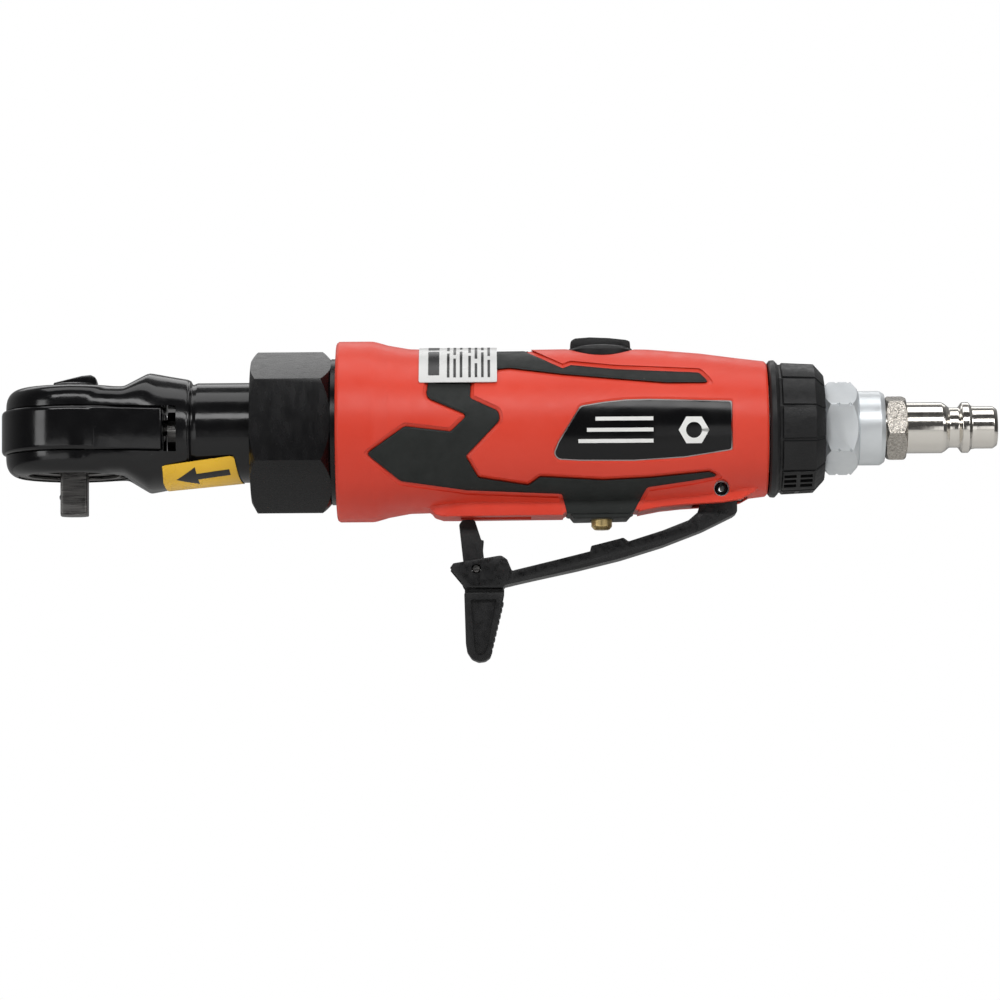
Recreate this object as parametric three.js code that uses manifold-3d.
// Air ratchet with a 1/4 inch square drive, a red grip, a throttle lever with a lock-off tab and an
// air inlet plug. Millimetres. +X runs along the tool from the drive to the inlet, +Z is up, and the
// origin is the middle of the square drive's end face. Inside the tool group Z is measured from the
// tool's long axis instead.
import * as THREE from "three";
import { mergeVertices } from "three/addons/utils/BufferGeometryUtils.js";
import Module from "manifold-3d";

const wasm = await Module();
wasm.setup();

// ---------------------------------------------------------------- driving dimensions
const AXIS_HEIGHT = 19.5; // long axis above the drive's end face
const SQUARE = 6.35; // 1/4 inch square drive
const RUN = 0.2; // clearance between parts that turn or slide
const FACE = 0.3; // gap between parts that rest against each other

const HEAD = { radius: 16.2, half: 10.6, slotHalf: 5.4, slotEnd: 24.7, bottomBore: 12.9, topBore: 6.0 };
const YOKE = { radius: 17.2, half: 5.2, end: 21.4, endHalf: 11.2, teeth: 30, tip: 12.1, root: 13.0 };
const ANVIL = { drum: 11.7, flange: 12.6, journal: 5.8 };
const PAWL = { pivot: 6.2, half: 3.7, rock: 8 };
const DETENT = { x: -2.65, z: -15.0, radius: 0.98 };
const NECK = { radius: 11.83, bore: 8.0, flange: 14.2, flangeFrom: 46.3, end: 48.8 };
const CRANK = { journal: 4.5, throw: 1.3, pin: 1.9, bushing: 3.6 };
const GEAR = {
  module: 0.62,
  sun: 9,
  planet: 12,
  ring: 33,
  from: 49.6,
  to: 56.4,
  tip: 0.5,
  root: 0.75,
  half: 0.31,
};
const NUT = { from: 42.0, to: 61.0, flats: 33.6, bore: 14.7, cornerAt: 97.5 };
const MOTOR = { bore: 12.75, stack: 12.5, rotor: 9.5, cylinderBore: 10.6, offset: -0.9, blades: 5 };
const SHELL = { radius: 16.3, rear: 13.4, step: 112 };
const VALVE = { x: 124.6, bore: 4.6, pin: 2.45, pinBottom: -23.7 };
const LEVER = { x: 152.7, z: -14.7, half: 5.2, knuckle: 4.1, pin: 1.5 };
const LOCK = { x: 94.9, z: -33.0, pin: 1.0 };
const GRIP = { from: 61.6, to: 163.7, railHalf: 7.5, inlay: 1.0 };
const VIEW_TILT = 5; // degrees: the grip's side outlines are drawn square to this direction

// Half-profile of the grip's outer skin: X and radius.
const GRIP_PROFILE = [
  [61.6, 20.6],
  [63.0, 21.4],
  [71.0, 21.4],
  [74.5, 20.4],
  [79.5, 19.5],
  [96.0, 19.1],
  [124.0, 19.3],
  [136.0, 19.0],
  [148.0, 18.0],
  [157.0, 16.8],
  [163.7, 16.05],
];
// Underside of the rail below the grip: X and depth below the axis.
const RAIL = [
  [82.5, 17.5],
  [86.5, 20.8],
  [131.0, 20.6],
  [133.7, 19.8],
  [138.5, 18.9],
  [143.5, 18.4],
  [152.7, 17.9],
  [157.5, 17.2],
  [160.5, 15.5],
];
// Side outline of the soft overmould: X and height. It runs over the top and round the bottom.
const OVERMOULD = [
  [84.1, 11.7],
  [83.6, 8.6],
  [84.3, 7.5],
  [93.2, 3.6],
  [89.2, -0.3],
  [78.5, 1.0],
  [69.6, -5.4],
  [77.4, -11.8],
  [93.0, -14.1],
  [115.2, -15.1],
  [117.5, -24.0],
  [131.0, -24.0],
  [132.2, -19.1],
  [135.1, -13.7],
  [145.7, -12.2],
  [151.6, -11.2],
  [149.7, -10.2],
  [135.9, -11.5],
  [124.9, -12.0],
  [110.1, -11.1],
  [107.3, -13.1],
  [95.5, -11.2],
  [92.6, -6.1],
  [100.6, 2.3],
  [100.3, 4.5],
  [93.7, 7.6],
  [93.9, 11.4],
  [97.0, 14.2],
  [103.0, 14.8],
  [115.5, 13.2],
  [124.9, 12.3],
  [139.8, 11.0],
  [149.8, 11.0],
  [147.5, 13.3],
  [128.1, 14.2],
  [117.5, 15.3],
  [115.5, 14.5],
  [106.9, 18.7],
  [106.9, 24.0],
  [84.6, 24.0],
];
// Side outline of the blank name panel.
const PANEL = [
  [119.5, 5.5],
  [125.0, 6.4],
  [130.1, 6.9],
  [135.9, 7.0],
  [155.0, 6.5],
  [155.0, -5.0],
  [143.8, -6.7],
  [132.0, -7.4],
  [119.5, -7.3],
  [114.2, -7.0],
  [113.2, -5.6],
  [114.3, -2.9],
];
// Side outline of the throttle lever, and of the channel inside it.
const LEVER_SIDE = [
  [156.5, -12.6],
  [156.5, -20.0],
  [155.7, -20.6],
  [148.3, -24.2],
  [138.8, -27.8],
  [128.9, -30.8],
  [118.9, -33.2],
  [109.0, -35.3],
  [101.7, -36.9],
  [101.2, -37.5],
  [92.0, -37.4],
  [91.5, -36.2],
  [88.7, -32.0],
  [89.5, -30.9],
  [101.0, -29.3],
  [102.2, -30.3],
  [103.5, -33.1],
  [104.0, -32.6],
  [107.0, -31.8],
  [113.9, -30.1],
  [121.7, -28.2],
  [122.0, -26.9],
  [129.4, -25.2],
  [130.6, -26.0],
  [138.8, -23.6],
  [145.5, -21.2],
  [147.0, -19.9],
  [147.7, -18.5],
  [148.6, -14.0],
  [150.4, -12.4],
  [153.0, -11.8],
];
const LEVER_CHANNEL = [
  [144.5, -19.5],
  [144.5, -23.6],
  [138.0, -26.1],
  [128.5, -29.0],
  [118.5, -31.5],
  [108.0, -33.7],
  [100.5, -34.9],
  [100.5, -28.0],
  [124.0, -20.0],
];
// Side outlines of the lock-off tab's arm and of its thumb piece.
const LOCK_ARM = [
  [90.9, -22.4],
  [91.7, -21.3],
  [94.2, -21.2],
  [94.7, -21.6],
  [96.3, -26.5],
  [96.9, -32.0],
  [97.4, -35.0],
  [98.6, -37.9],
  [92.4, -38.1],
  [92.2, -34.0],
];
const LOCK_THUMB = [
  [92.1, -39.6],
  [101.4, -39.6],
  [99.0, -51.4],
  [98.3, -53.4],
  [96.9, -54.6],
  [95.3, -54.8],
  [93.7, -54.1],
  [92.6, -52.4],
  [92.3, -50.5],
];

// ---------------------------------------------------------------- shapes
// Turns a closed three.js geometry into a solid whose faces point out.
function toSolid(geometry) {
  const bare = new THREE.BufferGeometry();
  bare.setAttribute("position", geometry.getAttribute("position"));
  if (geometry.index) bare.setIndex(geometry.index);
  const merged = mergeVertices(bare, 1e-4);
  const corners = merged.index.array;
  const outward = [];
  const inward = [];
  for (let i = 0; i < corners.length; i += 3) {
    const [a, b, c] = corners.slice(i, i + 3);
    if (a === b || b === c || c === a) continue;
    outward.push(a, b, c);
    inward.push(a, c, b);
  }
  const build = (list) =>
    new wasm.Manifold(
      new wasm.Mesh({
        numProp: 3,
        vertProperties: merged.attributes.position.array,
        triVerts: new Uint32Array(list),
      }),
    );
  const solid = build(outward);
  return solid.volume() > 0 ? solid : build(inward);
}

const join = (first, ...rest) => rest.reduce((solid, other) => solid.add(other), first);
const cut = (first, ...tools) => tools.reduce((solid, tool) => solid.subtract(tool), first);
const radians = THREE.MathUtils.degToRad;

// A profile of [x, radius] points turned about the X axis. It closes along the axis, or on itself.
function turned(profile, segments = 24, startAngle = 0) {
  const points = profile.map(([x, radius]) => new THREE.Vector2(radius, x));
  const geometry = new THREE.LatheGeometry(points, segments);
  geometry.rotateZ(-Math.PI / 2);
  geometry.rotateX(radians(startAngle));
  return toSolid(geometry);
}

// A profile of [radius, z] points turned about the Z axis.
function spun(profile, segments = 24, x = 0, y = 0) {
  const geometry = new THREE.LatheGeometry(
    profile.map(([radius, z]) => new THREE.Vector2(radius, z)),
    segments,
  );
  geometry.rotateX(Math.PI / 2);
  geometry.translate(x, y, 0);
  return toSolid(geometry);
}

// A closed [x, radius] profile of a tube between two radii.
const tubeProfile = (from, to, inner, outer) => [
  [from, inner],
  [to, inner],
  [to, outer],
  [from, outer],
  [from, inner],
];
const tube = (from, to, inner, outer, segments = 20) =>
  turned(tubeProfile(from, to, inner, outer), segments);

// A round bar from one x to another, with its axis at y and z.
function barX(from, to, radius, segments = 20, y = 0, z = 0) {
  const geometry = new THREE.CylinderGeometry(radius, radius, to - from, segments);
  geometry.rotateZ(-Math.PI / 2);
  geometry.translate((from + to) / 2, y, z);
  return toSolid(geometry);
}

function barY(half, radius, x, z, segments = 12, middle = 0) {
  const geometry = new THREE.CylinderGeometry(radius, radius, 2 * half, segments);
  geometry.translate(x, middle, z);
  return toSolid(geometry);
}

function barZ(from, to, radius, x = 0, y = 0, segments = 20) {
  const geometry = new THREE.CylinderGeometry(radius, radius, to - from, segments);
  geometry.rotateX(Math.PI / 2);
  geometry.translate(x, y, (from + to) / 2);
  return toSolid(geometry);
}

function block(x0, x1, y0, y1, z0, z1) {
  const geometry = new THREE.BoxGeometry(x1 - x0, y1 - y0, z1 - z0);
  geometry.translate((x0 + x1) / 2, (y0 + y1) / 2, (z0 + z1) / 2);
  return toSolid(geometry);
}

function extruded(outline, depth) {
  const shape = new THREE.Shape(outline.map(([a, b]) => new THREE.Vector2(a, b)));
  return new THREE.ExtrudeGeometry(shape, { depth, bevelEnabled: false, curveSegments: 8 });
}

// An outline in X and Z, from y0 to y1, then tilted about the X axis.
function sideSlab(outline, y0, y1, tilt = 0) {
  const geometry = extruded(outline, y1 - y0);
  geometry.rotateX(Math.PI / 2);
  geometry.translate(0, y1, 0);
  geometry.rotateX(radians(tilt));
  return toSolid(geometry);
}

// An outline in X and Y, from z0 to z1.
function planSlab(outline, z0, z1) {
  const geometry = extruded(outline, z1 - z0);
  geometry.translate(0, 0, z0);
  return toSolid(geometry);
}

// An outline in Y and Z, from x0 to x1.
function crossSlab(outline, x0, x1) {
  const geometry = extruded(outline, x1 - x0);
  const turn = new THREE.Matrix4().makeBasis(
    new THREE.Vector3(0, 1, 0),
    new THREE.Vector3(0, 0, 1),
    new THREE.Vector3(1, 0, 0),
  );
  geometry.applyMatrix4(turn);
  geometry.translate(x0, 0, 0);
  return toSolid(geometry);
}

// A regular polygon of Y and Z points with one corner at an angle above the near side, -Y.
const polygon = (corners, radius, cornerAt, y = 0, z = 0) =>
  Array.from({ length: corners }, (_, i) => {
    const angle = radians(cornerAt + (360 / corners) * i);
    return [y - radius * Math.cos(angle), z + radius * Math.sin(angle)];
  });

const hexBar = (from, to, flats, cornerAt) =>
  crossSlab(polygon(6, flats / 2 / Math.cos(Math.PI / 6), cornerAt), from, to);

// A pie slice about the X axis between two angles above the near side.
function slice(from, to, x0, x1, radius = 40) {
  const steps = 8;
  const arc = Array.from({ length: steps + 1 }, (_, i) => {
    const angle = radians(from + ((to - from) * i) / steps);
    return [-radius * Math.cos(angle), radius * Math.sin(angle)];
  });
  return crossSlab([[0, 0], ...arc], x0, x1);
}

// Teeth with straight flanks round a circle: each tooth has a half width at its root and at its tip.
function toothed(teeth, rootRadius, tipRadius, rootHalf, tipHalf, phase = 0, y = 0, z = 0) {
  const points = [];
  for (let i = 0; i < teeth; i++) {
    const middle = phase + (2 * Math.PI * i) / teeth;
    for (const [radius, side] of [
      [rootRadius, -rootHalf],
      [tipRadius, -tipHalf],
      [tipRadius, tipHalf],
      [rootRadius, rootHalf],
    ]) {
      const angle = middle + side / radius;
      points.push([y + radius * Math.cos(angle), z + radius * Math.sin(angle)]);
    }
  }
  return points;
}

// A round wire wound about an axis along Z, with closed ends.
function coil(x, y, z0, z1, radius, wire, turns, stepsPerTurn = 10) {
  const points = Array.from({ length: turns * stepsPerTurn + 1 }, (_, i) => {
    const angle = (2 * Math.PI * i) / stepsPerTurn;
    const z = z0 + ((z1 - z0) * i) / (turns * stepsPerTurn);
    return new THREE.Vector3(x + radius * Math.cos(angle), y + radius * Math.sin(angle), z);
  });
  const path = new THREE.CatmullRomCurve3(points);
  const section = new THREE.Shape();
  section.absarc(0, 0, wire, 0, 2 * Math.PI);
  return new THREE.ExtrudeGeometry(section, {
    steps: turns * stepsPerTurn,
    extrudePath: path,
    curveSegments: 3,
    bevelEnabled: false,
  });
}

// ---------------------------------------------------------------- the assembly
const paint = (color, roughness, metalness) =>
  new THREE.MeshStandardMaterial({ color, roughness, metalness });
const MATERIAL = {
  blackForging: paint(0x0b0b0c, 0.22, 0.3),
  blackSteel: paint(0x1b1b1b, 0.4, 0.8),
  steel: paint(0xb9bcc0, 0.3, 1),
  red: paint(0xc8301f, 0.5, 0),
  rubber: paint(0x1c1e1c, 0.75, 0),
  blackPlastic: paint(0x161617, 0.5, 0),
  panel: paint(0x050505, 0.15, 0),
  aluminium: paint(0xc9ccd0, 0.35, 1),
  brass: paint(0xb08d3f, 0.3, 1),
  nickel: paint(0xc9c2b2, 0.15, 1),
  zinc: paint(0xc4c8cd, 0.3, 1),
  paper: paint(0xe8e8e6, 0.6, 0),
  yellow: paint(0xf0b429, 0.5, 0),
  phenolic: paint(0x6b4a2b, 0.7, 0),
};

const tool = new THREE.Group();
tool.position.z = AXIS_HEIGHT;

function place(name, solid, material) {
  const mesh = solid.getMesh();
  const geometry = new THREE.BufferGeometry();
  geometry.setAttribute("position", new THREE.BufferAttribute(mesh.vertProperties, 3));
  geometry.setIndex(new THREE.BufferAttribute(mesh.triVerts, 1));
  geometry.computeVertexNormals();
  const piece = new THREE.Mesh(geometry, material);
  piece.name = name;
  tool.add(piece);
}

// ---------------------------------------------------------------- ratchet head
// A round-ended fork, open at the sides for the yoke, with a tapered neck and a flange in the nut.
function ratchetHousing() {
  const { radius, half, slotHalf, slotEnd, bottomBore, topBore } = HEAD;
  const eye = spun(
    [
      [0, -half],
      [radius - 3, -half],
      [radius - 1.2, -half + 0.9],
      [radius - 0.2, -half + 2.6],
      [radius, -half + 4.4],
      [radius, half - 4.4],
      [radius - 0.2, half - 2.6],
      [radius - 1.2, half - 0.9],
      [radius - 3, half],
      [0, half],
    ],
    32,
  );
  const bridge = planSlab(
    [
      [0, -radius],
      [7, -radius + 0.2],
      [17.5, -13.4],
      [21.0, -10.4],
      [21.0, 10.4],
      [17.5, 13.4],
      [7, radius - 0.2],
      [0, radius],
    ],
    -half,
    half,
  );
  const rounded = crossSlab(
    [
      [-radius, -6.2],
      [-radius + 1.2, -9.7],
      [-radius + 3, -half],
      [radius - 3, -half],
      [radius - 1.2, -9.7],
      [radius, -6.2],
      [radius, 6.2],
      [radius - 1.2, 9.7],
      [radius - 3, half],
      [-radius + 3, half],
      [-radius + 1.2, 9.7],
      [-radius, 6.2],
    ],
    -0.5,
    26,
  );
  const neck = turned(
    [
      [8, 0],
      [8, 10.3],
      [13.1, 10.6],
      [15.6, 12.0],
      [17.9, 14.0],
      [28.5, 12.35],
      [30.2, NECK.radius],
      [NECK.flangeFrom, NECK.radius],
      [NECK.flangeFrom, NECK.flange],
      [NECK.end, NECK.flange],
      [NECK.end, 0],
    ],
    32,
  );
  const rim = spun(
    [
      [0, -half + 0.7],
      [bottomBore - 0.1, -half + 0.7],
      [bottomBore + 0.7, -half - 0.1],
      [0, -half - 0.1],
    ],
    32,
  );
  return cut(
    join(eye, bridge.intersect(rounded), neck),
    block(-20, slotEnd, -20, 20, -slotHalf, slotHalf),
    barX(slotEnd - 0.1, 45.3, NECK.bore, 24),
    barX(45.2, 49, 10.2, 24),
    barZ(slotHalf - 0.1, half + 1, topBore, 0, 0, 24),
    barZ(-half - 1, -slotHalf + 0.1, bottomBore, 0, 0, 32),
    barZ(-10.2, -9.2, bottomBore + 0.7, 0, 0, 32),
    rim,
  );
}

// The rocking ring between the ears. Its bore is toothed and its fork straddles the crank's bushing.
function yoke() {
  const { radius, half, end, endHalf, teeth, tip, root } = YOKE;
  const edge = 0.5;
  const ring = spun(
    [
      [0, -half],
      [radius - edge, -half],
      [radius, -half + edge],
      [radius, half - edge],
      [radius - edge, half],
      [0, half],
    ],
    32,
  );
  const arms = planSlab(
    [
      [0, -radius + 0.2],
      [5, -16.3],
      [end, -endHalf],
      [end, endHalf],
      [5, 16.3],
      [0, radius - 0.2],
    ],
    -half,
    half,
  );
  const serrations = toothed(teeth, root, tip, 0.95, 0.1);
  return cut(
    join(ring, arms),
    planSlab(serrations, -half - 1, half + 1),
    block(15.7, end + 1, -6.6, 6.6, -half - 1, half + 1),
  );
}

// Drum, flange and square in one piece. The drum holds the pawl and the reversing stem.
function driveAnvil() {
  const { drum, flange, journal } = ANVIL;
  const body = spun(
    [
      [0, -8.6],
      [6.2, -8.6],
      [6.2, -8.1],
      [flange, -8.1],
      [flange, -5.5],
      [drum, -5.5],
      [drum, 5.2],
      [journal, 5.2],
      [journal, 10.4],
      [0, 10.4],
    ],
    24,
  );
  const half = SQUARE / 2;
  const corner = 0.45;
  const square = planSlab(
    [
      [-half, -half + corner],
      [-half + corner, -half],
      [half - corner, -half],
      [half, -half + corner],
      [half, half - corner],
      [half - corner, half],
      [-half + corner, half],
      [-half, half - corner],
    ],
    -AXIS_HEIGHT,
    -8.4,
  );
  const tip = spun(
    [
      [0, -AXIS_HEIGHT],
      [3.5, -AXIS_HEIGHT],
      [4.6, -AXIS_HEIGHT + 1.1],
      [4.6, -8],
      [0, -8],
    ],
    20,
  );
  const pawlPocket = planSlab(
    [
      [-6.6, 3.7],
      [6.6, 3.7],
      [6.6, 13],
      [-6.6, 13],
    ],
    -PAWL.half - RUN,
    PAWL.half + RUN,
  );
  return cut(
    join(body, square.intersect(tip)),
    pawlPocket,
    barZ(-4.4, 11, 2.5, 0, 0, 16),
    barZ(-1.3, 1.3, 3.75, 0, 0, 16),
    barZ(-4.8, 4.8, 1.4, 0, PAWL.pivot, 12),
    barX(-4, -0.4, 1.15, 16, 0, DETENT.z),
  );
}

// A two-tipped rocker. At rest the +X tip is out.
function pawl() {
  const outline = [
    [-4.3, 4.2],
    [-3.2, 4.9],
    [-1.9, 4.1],
    [1.9, 4.1],
    [3.2, 4.9],
    [4.3, 4.2],
    [3.9, 1.2],
    [2.4, -1.6],
    [-2.4, -1.6],
    [-3.9, 1.2],
  ];
  const turn = radians(PAWL.rock);
  const rocked = outline.map(([x, y]) => [
    x * Math.cos(turn) - y * Math.sin(turn),
    PAWL.pivot + x * Math.sin(turn) + y * Math.cos(turn),
  ]);
  return cut(planSlab(rocked, -PAWL.half, PAWL.half), barZ(-5, 5, 1.4, 0, PAWL.pivot, 12));
}

// Thumb lever on top of the head, its stem, and the finger that tips the pawl.
function reverseKnob() {
  const disc = spun(
    [
      [0, 10.75],
      [5.4, 10.75],
      [5.4, 11.5],
      [5.0, 11.9],
      [0, 11.9],
    ],
    24,
  );
  const wedge = sideSlab(
    [
      [-4.85, 11.4],
      [-4.7, 12.0],
      [2.3, 13.75],
      [3.6, 13.8],
      [4.9, 13.4],
      [5.35, 12.4],
      [5.35, 11.4],
    ],
    -2.7,
    2.7,
  );
  const finger = toSolid(
    new THREE.CylinderGeometry(0.8, 0.8, 2, 10).translate(0, 2.4, 0).rotateZ(radians(-30)),
  );
  return join(disc, wedge, barZ(-4.1, 11, 2.2, 0, 0, 16), finger);
}

const detentBall = () =>
  toSolid(new THREE.SphereGeometry(DETENT.radius, 12, 8).translate(DETENT.x, 0, DETENT.z));

// Open circlip that keeps the anvil and its washer in the bottom ear.
const retainingRing = () =>
  cut(
    spun(
      [
        [10.9, -10.0],
        [13.35, -10.0],
        [13.35, -9.4],
        [10.9, -9.4],
        [10.9, -10.0],
      ],
      32,
    ),
    block(5, 15, -2.2, 2.2, -12, -8),
  );

const thrustWasher = () =>
  spun(
    [
      [6.6, -9.15],
      [12.6, -9.15],
      [12.6, -8.4],
      [6.6, -8.4],
      [6.6, -9.15],
    ],
    24,
  );

place("ratchet_housing", ratchetHousing(), MATERIAL.blackForging);
place("yoke", yoke(), MATERIAL.blackForging);
place("drive_anvil", driveAnvil(), MATERIAL.blackSteel);
place("pawl", pawl(), MATERIAL.steel);
place("pawl_pin", barZ(-4.6, 4.6, 1.15, 0, PAWL.pivot, 12), MATERIAL.steel);
place("reverse_knob", reverseKnob(), MATERIAL.blackSteel);
place("detent_ball", detentBall(), MATERIAL.steel);
place("thrust_washer", thrustWasher(), MATERIAL.blackSteel);
place("retaining_ring", retainingRing(), MATERIAL.blackSteel);

// ---------------------------------------------------------------- crank and gears
const PLANET_ORBIT = (GEAR.module * (GEAR.sun + GEAR.planet)) / 2;
const planetCentre = (i) => [
  PLANET_ORBIT * Math.cos((2 * Math.PI * i) / 3),
  PLANET_ORBIT * Math.sin((2 * Math.PI * i) / 3),
];
const pitchRadius = (teeth) => (GEAR.module * teeth) / 2;

// Crank pin, journal and planet carrier in one piece.
function crankshaft() {
  const holes = [0, 1, 2].map((i) => barX(46.7, 49, 1.65, 12, ...planetCentre(i)));
  const shaft = turned(
    [
      [22.2, 0],
      [22.2, 5.0],
      [24.9, 5.0],
      [24.9, CRANK.journal],
      [45.7, CRANK.journal],
      [45.7, 9.4],
      [48.7, 9.4],
      [48.7, 0],
    ],
    24,
  );
  return cut(join(shaft, barX(16.0, 22.4, CRANK.pin, 12, 0, CRANK.throw)), ...holes);
}

const driveBushing = () =>
  cut(
    toSolid(
      new THREE.LatheGeometry(
        [
          [0, 16.3],
          [3.2, 16.3],
          [CRANK.bushing, 17.5],
          [CRANK.bushing, 20.1],
          [3.2, 21.3],
          [0, 21.3],
        ].map(([radius, x]) => new THREE.Vector2(radius, x)),
        20,
      )
        .rotateZ(-Math.PI / 2)
        .translate(0, 0, CRANK.throw),
    ),
    barX(15, 22, CRANK.pin + 0.15, 12, 0, CRANK.throw),
  );

function planetGear(i) {
  const pitch = pitchRadius(GEAR.planet);
  const angle = (2 * Math.PI * i) / 3;
  const outline = toothed(
    GEAR.planet,
    pitch - GEAR.root,
    pitch + GEAR.tip,
    GEAR.half + 0.2,
    GEAR.half - 0.16,
    angle + Math.PI / GEAR.planet,
    ...planetCentre(i),
  );
  const hole = barX(GEAR.from - 1, GEAR.to + 1, 1.65, 12, ...planetCentre(i));
  return cut(crossSlab(outline, GEAR.from, GEAR.to), hole);
}

function ringGear() {
  const pitch = pitchRadius(GEAR.ring);
  const halfPitch = (Math.PI * GEAR.module) / 2;
  const space = toothed(
    GEAR.ring,
    pitch - GEAR.tip,
    pitch + GEAR.root,
    halfPitch - GEAR.half + 0.16,
    halfPitch - GEAR.half,
    Math.PI / GEAR.ring,
  );
  const blank = barX(GEAR.from - 0.2, GEAR.to + 0.4, 12.4, 24);
  return cut(blank, crossSlab(space, GEAR.from - 1, GEAR.to + 1));
}

place("crankshaft", crankshaft(), MATERIAL.steel);
place("drive_bushing", driveBushing(), MATERIAL.steel);
place("crank_front_bearing", tube(26.5, 34.5, 4.7, 7.8, 20), MATERIAL.steel);
place("crank_rear_bearing", tube(37.0, 44.8, 4.7, 7.8, 20), MATERIAL.steel);
place("ring_gear", ringGear(), MATERIAL.steel);
for (const i of [0, 1, 2]) {
  place(`planet_gear_${i + 1}`, planetGear(i), MATERIAL.steel);
  place(`planet_pin_${i + 1}`, barX(46.9, GEAR.to + 0.3, 1.5, 12, ...planetCentre(i)), MATERIAL.steel);
}
place("gear_spacer", tube(57.2, 61.6, 7.0, MOTOR.stack, 24), MATERIAL.steel);

// ---------------------------------------------------------------- clamp nut
function clampNut() {
  const { from, to, flats, bore, cornerAt } = NUT;
  const rounded = turned(
    [
      [from, 0],
      [from, 16.9],
      [from + 2.6, 19.7],
      [to - 3.2, 19.7],
      [to, 16.7],
      [to, 0],
    ],
    36,
  );
  return cut(
    hexBar(from, to, flats, cornerAt).intersect(rounded),
    barX(from - 1, 46.1, 12.2, 28),
    barX(46.0, to + 1, bore, 28),
  );
}
place("clamp_nut", clampNut(), MATERIAL.blackForging);

// ---------------------------------------------------------------- motor
function motorHousing() {
  const outside = turned(
    [
      [49.2, 0],
      [49.2, 14.35],
      [61.2, 14.35],
      [61.7, SHELL.radius],
      [SHELL.step, SHELL.radius],
      [SHELL.step, SHELL.rear],
      [159.5, SHELL.rear],
      [159.5, 10.4],
      [176.6, 10.4],
      [176.6, 0],
    ],
    24,
  );
  const pinBoss = barZ(-18.5, -10, 5.5, VALVE.x, 0, 16);
  const leverLug = block(147.5, 157.9, -6.9, 6.9, -16.6, -8);
  return cut(
    join(outside, pinBoss, leverLug),
    barX(48, 111, MOTOR.bore, 24),
    barX(110.5, VALVE.x, 2.2, 10, 0, -1.0),
    barX(VALVE.x, 178, 3.8, 16),
    barX(167, 178, 6.9, 20),
    barZ(-20, -5.9, VALVE.pin + 0.2, VALVE.x, 0, 16),
    barZ(-6, 15, VALVE.bore, VALVE.x, 0, 20),
    block(146, 159, -4.5, 4.5, -18, -11.2),
    barY(9, LEVER.pin + 0.12, LEVER.x, LEVER.z),
  );
}

function rotor() {
  const pinion = crossSlab(
    toothed(
      GEAR.sun,
      pitchRadius(GEAR.sun) - GEAR.root,
      pitchRadius(GEAR.sun) + GEAR.tip,
      GEAR.half + 0.16,
      GEAR.half - 0.16,
    ),
    GEAR.from - 0.4,
    57.0,
  );
  const shaft = turned(
    [
      [56.9, 0],
      [56.9, 2.4],
      [66.3, 2.4],
      [66.3, MOTOR.rotor],
      [103.7, MOTOR.rotor],
      [103.7, 2.4],
      [107.6, 2.4],
      [107.6, 0],
    ],
    20,
  );
  const slots = bladeAngles().map((angle) => bladeBox(angle, 66.0, 104.0, 4.4, 12, 0.85));
  return cut(join(shaft, pinion), ...slots);
}
const bladeAngles = () => Array.from({ length: MOTOR.blades }, (_, i) => (360 / MOTOR.blades) * i + 18);
function bladeBox(angle, x0, x1, inner, outer, halfThick) {
  const geometry = new THREE.BoxGeometry(x1 - x0, 2 * halfThick, outer - inner);
  geometry.translate((x0 + x1) / 2, 0, (inner + outer) / 2);
  geometry.rotateX(radians(angle));
  return toSolid(geometry);
}

function motorCylinder() {
  const ports = [78, 85, 92].map((x) => barZ(-14, -9, 1.6, x, 0, 8));
  return cut(
    barX(66.1, 103.9, MOTOR.stack, 24),
    barX(65, 105, MOTOR.cylinderBore, 24, 0, MOTOR.offset),
    ...ports,
  );
}

const endPlate = (from, to, pocketFrom, pocketTo) =>
  cut(
    barX(from, to, MOTOR.stack, 24),
    barX(from - 1, to + 1, 2.8, 16),
    barX(pocketFrom, pocketTo, 6.3, 20),
  );

place("motor_housing", motorHousing(), MATERIAL.aluminium);
place("front_end_plate", endPlate(62.0, 65.8, 61, 64.9), MATERIAL.steel);
place("front_rotor_bearing", tube(62.2, 64.6, 2.6, 6.1, 20), MATERIAL.steel);
place("motor_cylinder", motorCylinder(), MATERIAL.steel);
place("rotor", rotor(), MATERIAL.steel);
bladeAngles().forEach((angle, i) =>
  place(`rotor_blade_${i + 1}`, bladeBox(angle, 66.4, 103.6, 4.6, 9.3, 0.7), MATERIAL.phenolic),
);
place("rear_end_plate", endPlate(104.2, 108.2, 105.1, 109), MATERIAL.steel);
place("rear_rotor_bearing", tube(105.4, 107.8, 2.6, 6.1, 20), MATERIAL.steel);

// ---------------------------------------------------------------- throttle valve and regulator
const throttlePin = () =>
  spun(
    [
      [0, VALVE.pinBottom],
      [1.7, VALVE.pinBottom],
      [VALVE.pin, VALVE.pinBottom + 0.6],
      [VALVE.pin, -4.2],
      [4.2, -4.2],
      [4.2, -2.7],
      [0, -2.7],
    ],
    16,
    VALVE.x,
  );

const valveSeal = () =>
  spun(
    [
      [2.75, -5.2],
      [3.55, -5.75],
      [4.35, -5.2],
      [3.55, -4.55],
      [2.75, -5.2],
    ],
    12,
    VALVE.x,
  );

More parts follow.
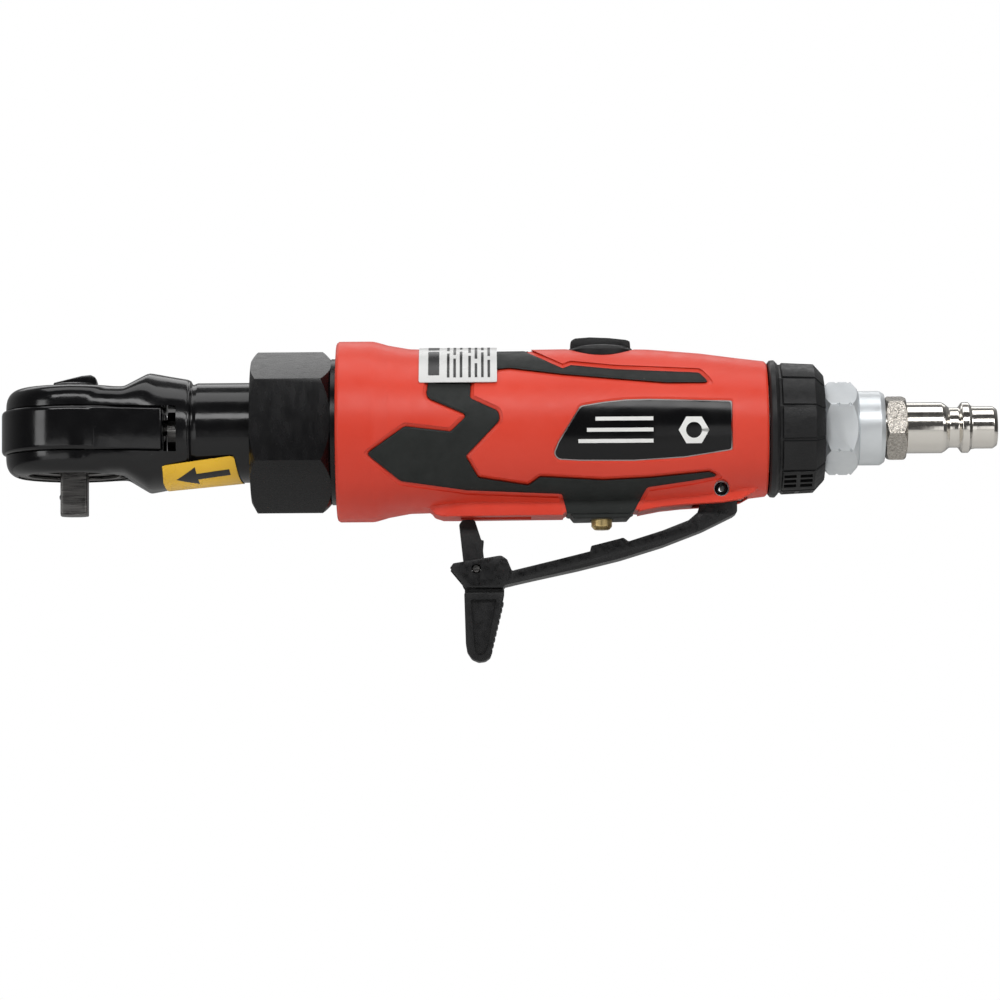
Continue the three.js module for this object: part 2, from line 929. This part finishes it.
// Regulator: a round knob with a finger bar, on a hollow sleeve that holds the valve spring.
function regulatorKnob() {
  const knob = spun(
    [
      [0, 4.2],
      [4.4, 4.2],
      [4.4, 17.4],
      [8.0, 17.4],
      [8.0, 19.1],
      [7.3, 19.9],
      [0, 19.9],
    ],
    24,
    VALVE.x,
  );
  const bar = sideSlab(
    [
      [-7.1, 19.4],
      [-7.1, 21.4],
      [-6.6, 21.8],
      [5.8, 21.1],
      [7.1, 20.4],
      [7.1, 19.4],
    ].map(([x, z]) => [VALVE.x + x, z]),
    -3.2,
    3.2,
  );
  return cut(join(knob, bar), barZ(4, 8, 3.9, VALVE.x, 0, 16));
}

place("throttle_pin", throttlePin(), MATERIAL.brass);
place("valve_seal", valveSeal(), MATERIAL.rubber);
place("valve_spring", toSolid(coil(VALVE.x, 0, -2.1, 7.2, 3.1, 0.32, 4, 8)), MATERIAL.steel);
place("regulator_knob", regulatorKnob(), MATERIAL.blackPlastic);

// ---------------------------------------------------------------- grip
// The grip's outer form, grown outwards by an offset.
function gripForm(offset, segments = 28) {
  const first = GRIP_PROFILE[0][0];
  const last = GRIP_PROFILE[GRIP_PROFILE.length - 1][0];
  const skin = GRIP_PROFILE.map(([x, radius]) => [x, radius + offset]);
  const round = turned([[first, 0], ...skin, [last, 0]], segments);
  const underside = RAIL.map(([x, depth]) => [x, -depth - offset]);
  const rail = sideSlab(
    [[RAIL[0][0], -8], ...underside, [RAIL[RAIL.length - 1][0], -8]],
    -GRIP.railHalf - offset,
    GRIP.railHalf + offset,
  );
  return round.add(rail);
}

// A side outline cut square to the view tilt, for the near half or the far half of the grip.
const bothSides = (outline, past) =>
  join(sideSlab(outline, -30, past, VIEW_TILT), sideSlab(outline, -past, 30, -VIEW_TILT));

// Moves each corner of an outline inwards by a small gap.
function inset(outline, gap) {
  const n = outline.length;
  const area = outline.reduce((sum, [x, z], i) => {
    const [nx, nz] = outline[(i + 1) % n];
    return sum + (x * nz - nx * z) / 2;
  }, 0);
  const side = Math.sign(area);
  return outline.map(([x, z], i) => {
    const [px, pz] = outline[(i + n - 1) % n];
    const [nx, nz] = outline[(i + 1) % n];
    const before = new THREE.Vector2(x - px, z - pz).normalize();
    const after = new THREE.Vector2(nx - x, nz - z).normalize();
    const normal = new THREE.Vector2(-before.y - after.y, before.x + after.x);
    const length = gap / Math.max(0.35, normal.length() / 2);
    normal.normalize().multiplyScalar(side * length);
    return [x + normal.x, z + normal.y];
  });
}

const knobRecess = () => barZ(17.1, 30, 8.4, VALVE.x, 0, 24);
const lockSlot = () => block(91.4, 108.0, -3.3, 3.3, -30, -16.8);
const leverSlot = () => block(146, 159, -4.5, 4.5, -30, -10);
const pinHole = () => barZ(-30, 0, VALVE.pin + 0.4, VALVE.x, 0, 16);

function gripCover() {
  const form = gripForm(0);
  const softPocket = bothSides(OVERMOULD, 4).subtract(gripForm(-GRIP.inlay - FACE));
  const panelPocket = (prism) => prism.intersect(cut(gripForm(4), gripForm(-0.9)));
  const nearPanel = panelPocket(sideSlab(PANEL, -30, -4, VIEW_TILT));
  const farPanel = panelPocket(sideSlab(PANEL, 4, 30, -VIEW_TILT));
  return cut(
    form,
    softPocket,
    nearPanel,
    farPanel,
    barX(GRIP.from - 1, SHELL.step + FACE, SHELL.radius + FACE, 24),
    barX(SHELL.step, GRIP.to + 1, SHELL.rear + 0.4, 24),
    barZ(-18.9, -8, 5.9, VALVE.x, 0, 16),
    block(147.1, 158.3, -7.2, 7.2, -16.9, -8),
    barZ(0, 30, 4.8, VALVE.x, 0, 20),
    knobRecess(),
    pinHole(),
    lockSlot(),
    leverSlot(),
    barY(20, 1.85, LEVER.x, LEVER.z, 16),
  );
}

function gripOvermould() {
  const outline = inset(OVERMOULD, 0.15);
  const layer = cut(gripForm(0.15), gripForm(-GRIP.inlay));
  return cut(
    bothSides(outline, 3.7).intersect(layer),
    lockSlot(),
    pinHole(),
    knobRecess(),
  );
}

function namePanel(side) {
  const outline = inset(PANEL, 0.15);
  const prism =
    side < 0 ? sideSlab(outline, -30, -4.2, VIEW_TILT) : sideSlab(outline, 4.2, 30, -VIEW_TILT);
  return prism.intersect(cut(gripForm(0.05), gripForm(-0.6)));
}

// A label wrapped over the overmould: a slice of a thin sleeve.
function ratingLabel() {
  const from = 81.8;
  const to = 100.1;
  const sleeve = turned(
    [
      [from, 19.8],
      [from, 20.0],
      [96, 19.75],
      [to, 19.75],
      [to, 19.55],
      [96, 19.55],
      [from, 19.8],
    ],
    32,
  );
  return sleeve.intersect(slice(30, 104, from - 1, to + 1));
}

place("grip_cover", gripCover(), MATERIAL.red);
place("grip_overmould", gripOvermould(), MATERIAL.rubber);
place("name_panel_right", namePanel(-1), MATERIAL.panel);
place("name_panel_left", namePanel(1), MATERIAL.panel);
place("rating_label", ratingLabel(), MATERIAL.paper);

// The rotation label wraps under the neck.
function rotationLabel() {
  const sleeve = turned(
    [
      [21.4, 13.62],
      [28.5, 12.5],
      [30.2, 12.0],
      [38.6, 12.0],
      [38.6, 12.2],
      [30.2, 12.2],
      [28.5, 12.7],
      [21.4, 13.82],
      [21.4, 13.62],
    ],
    32,
  );
  return sleeve.intersect(slice(-108, -32, 20, 40));
}
place("rotation_label", rotationLabel(), MATERIAL.yellow);

// ---------------------------------------------------------------- throttle lever and lock-off tab
function throttleLever() {
  const arm = sideSlab(LEVER_SIDE, -LEVER.half, LEVER.half);
  const beside = (from, to) => block(147.2, 158, from, to, -20.6, -8);
  const well = block(86.0, 101.0, -4.1, 4.1, -40, -26);
  return cut(
    arm,
    beside(-8, -LEVER.knuckle),
    beside(LEVER.knuckle, 8),
    sideSlab(LEVER_CHANNEL, -3.9, 3.9),
    well,
    barY(9, LEVER.pin + 0.12, LEVER.x, LEVER.z),
    barY(9, LOCK.pin + 0.12, LOCK.x, LOCK.z),
  );
}

function lockTab() {
  const arm = sideSlab(LOCK_ARM, -2.6, 2.6);
  const thumb = sideSlab(LOCK_THUMB, -4.6, 4.6);
  const neck = sideSlab(
    [
      [92.0, -37.9],
      [101.7, -37.8],
      [101.3, -40.0],
      [92.1, -40.0],
    ],
    -3.8,
    3.8,
  );
  const panel = sideSlab(
    [
      [93.9, -40.2],
      [99.4, -40.2],
      [97.6, -49.5],
      [96.8, -52.2],
      [95.2, -52.6],
      [94.3, -51.4],
    ],
    -8,
    -4.1,
  );
  return cut(join(arm, neck, thumb), panel, barY(9, LOCK.pin + 0.12, LOCK.x, LOCK.z, 12));
}

// Torsion spring on the lock pin, beside the tab's arm.
function lockSpring() {
  const wound = coil(0, 0, 0, 0.8, 1.55, 0.15, 2, 10);
  wound.rotateX(Math.PI / 2);
  wound.translate(LOCK.x, 3.75, LOCK.z);
  return toSolid(wound);
}

place("throttle_lever", throttleLever(), MATERIAL.blackPlastic);
place("lever_pin", barY(6.7, LEVER.pin, LEVER.x, LEVER.z), MATERIAL.steel);
place("lock_tab", lockTab(), MATERIAL.blackPlastic);
place("lock_pin", barY(5.1, LOCK.pin, LOCK.x, LOCK.z, 16), MATERIAL.steel);
place("lock_spring", lockSpring(), MATERIAL.steel);

// ---------------------------------------------------------------- exhaust and air inlet
// A twelve-sided cap that turns on the housing's spigot. Its slots let the exhaust out.
function exhaustDeflector() {
  const facets = 12;
  const facetRadius = 15.3 / Math.cos(Math.PI / facets);
  const body = turned(
    [
      [166.2, 0],
      [166.2, facetRadius],
      [174.8, facetRadius - 0.35],
      [177.2, 12.6],
      [177.2, 0],
    ],
    facets,
    15,
  );
  const collar = barX(164.0, 166.3, 15.9, 24);
  const grooves = Array.from({ length: facets }, (_, i) => {
    const groove = new THREE.BoxGeometry(7.4, 0.7, 1.2);
    groove.translate(170.9, 0, facetRadius - 0.3);
    groove.rotateX(radians(15 + (360 / facets) * i));
    return toSolid(groove);
  });
  const slots = [-12, 0, 12].flatMap((angle) =>
    [168.2, 172.2].map((x) => {
      const slot = new THREE.BoxGeometry(2.4, 1.8, 8);
      slot.translate(x, 0, -14.5);
      slot.rotateX(radians(angle));
      return toSolid(slot);
    }),
  );
  return cut(
    join(body, collar),
    barX(163, 175.6, 13.2, 24),
    barX(175, 178, 10.75, 24),
    ...grooves,
    ...slots,
  );
}

function inletAdapter() {
  const hex = hexBar(177.5, 185.2, 19.1, 86).intersect(
    turned(
      [
        [177.5, 0],
        [177.5, 10.0],
        [178.5, 11.1],
        [183.6, 11.1],
        [185.2, 9.6],
        [185.2, 0],
      ],
      24,
    ),
  );
  const nose = turned(
    [
      [168.0, 0],
      [168.0, 6.6],
      [177.6, 6.6],
      [177.6, 8.8],
      [190.9, 8.8],
      [191.6, 8.2],
      [191.6, 0],
    ],
    20,
  );
  return cut(
    join(hex, nose),
    barX(167, 192, 3.4, 16),
    barX(183.6, 192, 5.3, 20),
    barX(167, 172, 5.2, 16),
  );
}

// The plug that a quick coupling snaps over.
function inletPlug() {
  const hex = hexBar(192.0, 196.7, 14.0, -14).intersect(
    turned(
      [
        [192.0, 0],
        [192.0, 7.4],
        [192.9, 8.2],
        [195.8, 8.2],
        [196.7, 7.4],
        [196.7, 0],
      ],
      24,
    ),
  );
  const nose = turned(
    [
      [184.4, 0],
      [184.4, 5.0],
      [191.9, 5.0],
      [191.9, 6.6],
      [196.6, 6.6],
      [196.9, 6.03],
      [205.9, 6.03],
      [206.6, 5.1],
      [207.6, 4.75],
      [209.0, 4.75],
      [209.4, 5.7],
      [210.0, 6.0],
      [211.6, 6.0],
      [212.4, 5.15],
      [217.6, 5.15],
      [218.3, 4.6],
      [218.3, 0],
    ],
    20,
  );
  return cut(join(hex, nose), barX(184, 219, 3.1, 16), barX(217.6, 219, 3.6, 20));
}

place("exhaust_deflector", exhaustDeflector(), MATERIAL.blackPlastic);
place("inlet_adapter", inletAdapter(), MATERIAL.zinc);
place("inlet_screen", tube(168.4, 171.6, 3.6, 5.0, 16), MATERIAL.brass);
place("inlet_plug", inletPlug(), MATERIAL.nickel);

export default tool;
